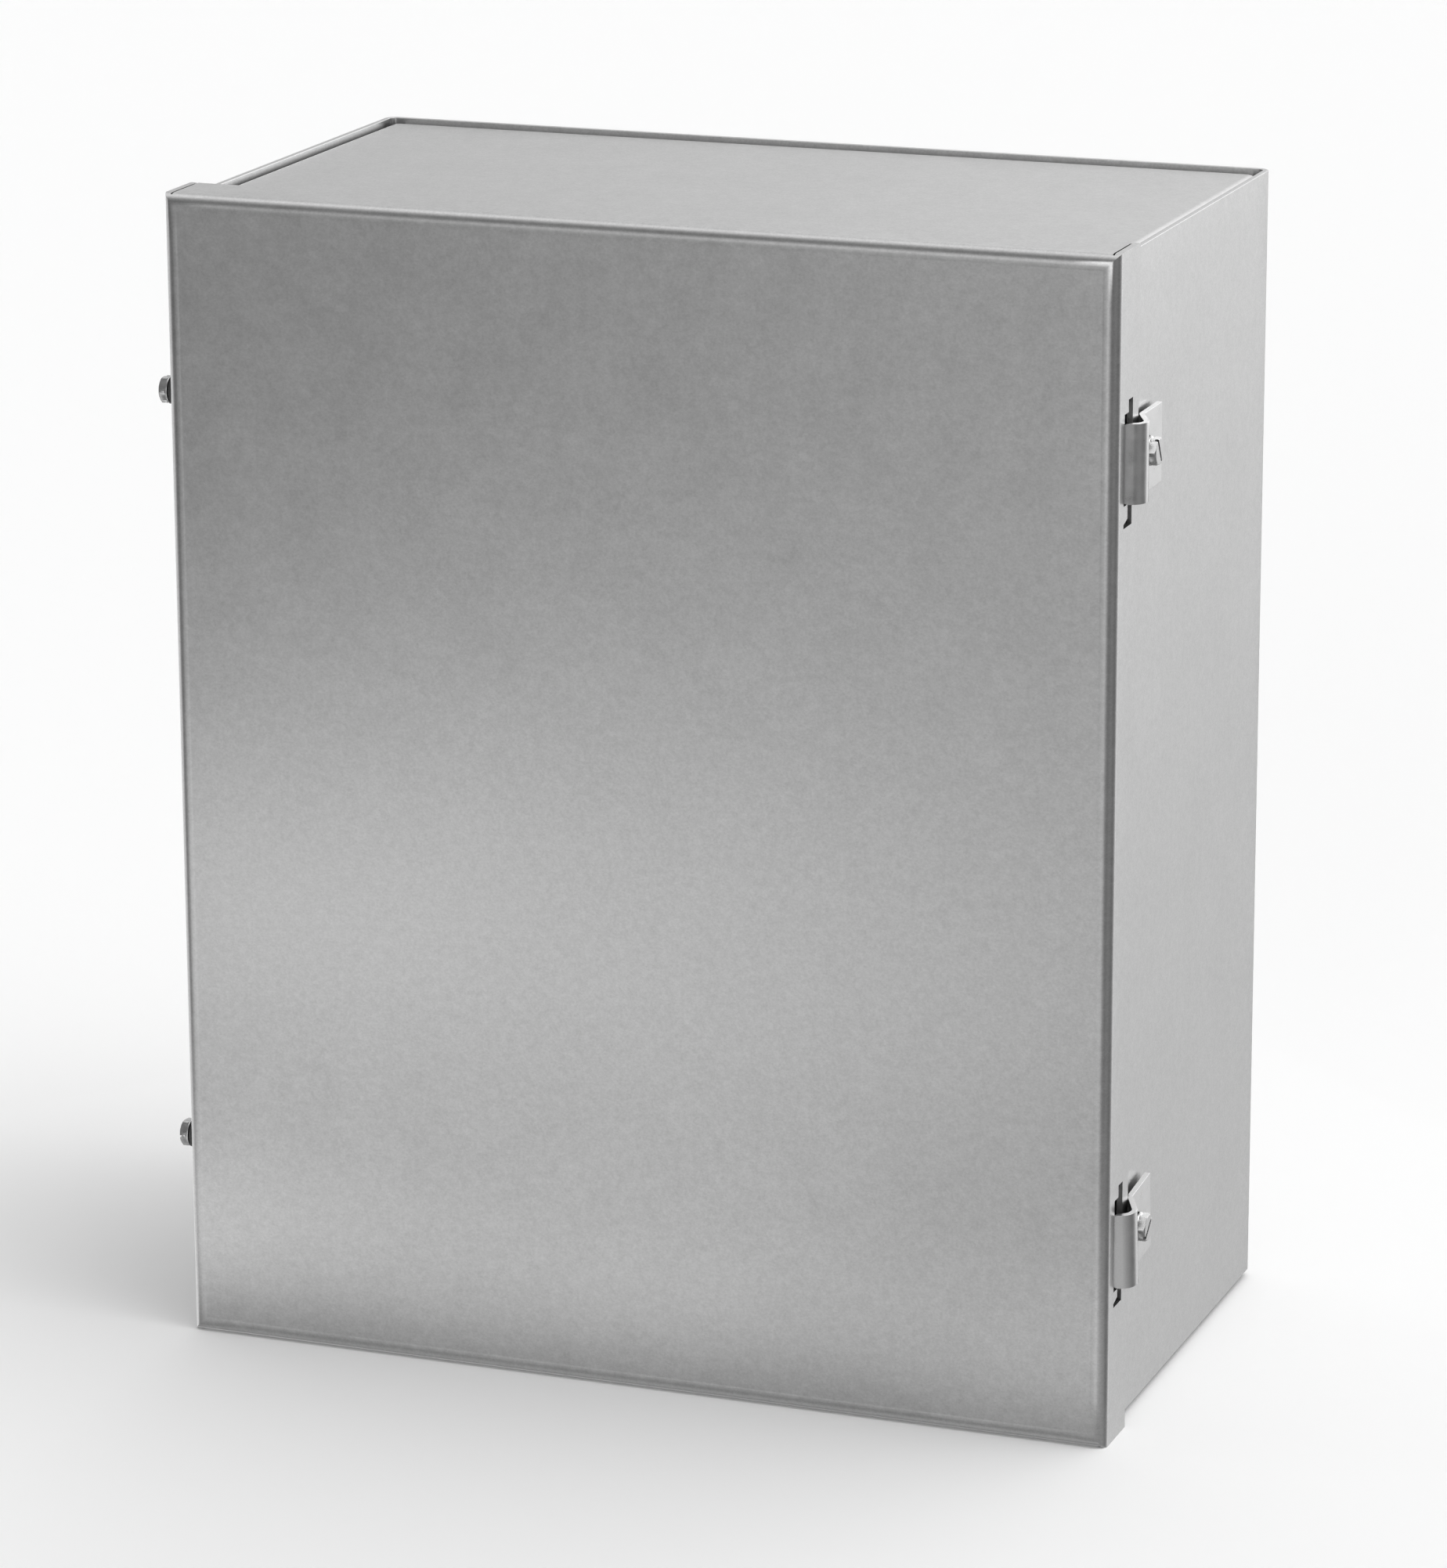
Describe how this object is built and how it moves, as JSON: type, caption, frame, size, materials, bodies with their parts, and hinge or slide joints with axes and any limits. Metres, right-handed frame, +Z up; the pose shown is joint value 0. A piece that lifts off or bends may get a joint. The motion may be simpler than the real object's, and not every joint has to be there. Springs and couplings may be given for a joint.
{
  "type": "wall-mounting switchboard cabinet",
  "caption": "Bare galvanised steel wall-mounting electrical cabinet with a lift-off folded cover, hook clamps on one side and retaining screws on the other.",
  "frame": {"origin": "under the middle of the whole cabinet, at the height of the cover's lower flange, the lowest point", "axes": "+Z up; -Y out of the front of the cover, +Y towards the wall; +X to the right as seen from the front, the side with the hook clamps"},
  "size_m": [0.2619, 0.138, 0.304],
  "materials": {
    "galvanised_sheet": "mill finish, satin, fine upright grain",
    "plate_sheet": "galvanised, satin",
    "zinc_plate": "zinc plated, satin",
    "zinc_screw": "zinc plated, bright",
    "steel_nut": "zinc plated, dull",
    "brass": "satin",
    "rubber": "matte",
    "gasket_rubber": "matte, soft rubber"
  },
  "bodies": {
    "cabinet": {"body_wrap": "galvanised_sheet", "top_panel": "galvanised_sheet", "bottom_panel": "galvanised_sheet", "equipment_plate": "plate_sheet", "body_earth_stud": "brass", "body_earth_washer": "zinc_plate", "body_earth_nut": "brass", "rivet_nut_upper": "steel_nut", "rivet_nut_lower": "steel_nut", "weld_nut_upper": "steel_nut", "weld_nut_lower": "steel_nut", "plate_stud_upper_left": "steel_nut", "plate_stud_upper_right": "steel_nut", "plate_stud_lower_left": "steel_nut", "plate_stud_lower_right": "steel_nut", "plate_washer_upper_left": "zinc_plate", "plate_washer_upper_right": "zinc_plate", "plate_washer_lower_left": "zinc_plate", "plate_washer_lower_right": "zinc_plate", "plate_nut_upper_left": "zinc_plate", "plate_nut_upper_right": "zinc_plate", "plate_nut_lower_left": "zinc_plate", "plate_nut_lower_right": "zinc_plate"},
    "cover": {"cover": "galvanised_sheet", "cover_gasket": "gasket_rubber", "cover_earth_stud": "brass", "cover_earth_washer": "zinc_plate", "cover_earth_nut": "brass"},
    "clamp_upper": {"hook_clamp_upper": "zinc_plate"},
    "clamp_screw_upper": {"clamp_screw_upper": "zinc_screw"},
    "washer_upper": {"sealing_washer_upper": "rubber"},
    "retaining_screw_upper": {"retaining_screw_upper": "zinc_screw"},
    "clamp_lower": {"hook_clamp_lower": "zinc_plate"},
    "clamp_screw_lower": {"clamp_screw_lower": "zinc_screw"},
    "washer_lower": {"sealing_washer_lower": "rubber"},
    "retaining_screw_lower": {"retaining_screw_lower": "zinc_screw"}
  },
  "joints": [
    {"name": "cover_lift_off", "type": "slide", "parent": "cabinet", "child": "cover", "axis": [0, -1, 0], "range_m": [0, 0.12]},
    {"name": "clamp_upper_release", "type": "slide", "parent": "cabinet", "child": "clamp_upper", "axis": [1, 0, 0], "range_m": [0, 0.006]},
    {"name": "clamp_screw_upper_turn", "type": "hinge", "parent": "clamp_upper", "child": "clamp_screw_upper", "pos_m": [0.1268, -0.0445, 0.2515], "axis": [1, 0, 0], "range_deg": [0, 3090]},
    {"name": "retaining_screw_upper_travel", "type": "slide", "parent": "cabinet", "child": "washer_upper", "axis": [-1, 0, 0], "range_m": [-0.001, 0.003]},
    {"name": "retaining_screw_upper_turn", "type": "hinge", "parent": "washer_upper", "child": "retaining_screw_upper", "pos_m": [-0.1291, -0.059, 0.2515], "axis": [-1, 0, 0], "range_deg": [-520, 1550]},
    {"name": "clamp_lower_release", "type": "slide", "parent": "cabinet", "child": "clamp_lower", "axis": [1, 0, 0], "range_m": [0, 0.006]},
    {"name": "clamp_screw_lower_turn", "type": "hinge", "parent": "clamp_lower", "child": "clamp_screw_lower", "pos_m": [0.1268, -0.0445, 0.0515], "axis": [1, 0, 0], "range_deg": [0, 3090]},
    {"name": "retaining_screw_lower_travel", "type": "slide", "parent": "cabinet", "child": "washer_lower", "axis": [-1, 0, 0], "range_m": [-0.001, 0.003]},
    {"name": "retaining_screw_lower_turn", "type": "hinge", "parent": "washer_lower", "child": "retaining_screw_lower", "pos_m": [-0.1291, -0.059, 0.0515], "axis": [-1, 0, 0], "range_deg": [-520, 1550]}
  ],
  "couplings": [
    {"joint": "clamp_screw_upper_turn", "follows": "clamp_upper_release", "rad_per_m": 8976},
    {"joint": "retaining_screw_upper_turn", "follows": "retaining_screw_upper_travel", "rad_per_m": 8976},
    {"joint": "clamp_screw_lower_turn", "follows": "clamp_lower_release", "rad_per_m": 8976},
    {"joint": "retaining_screw_lower_turn", "follows": "retaining_screw_lower_travel", "rad_per_m": 8976}
  ]
}
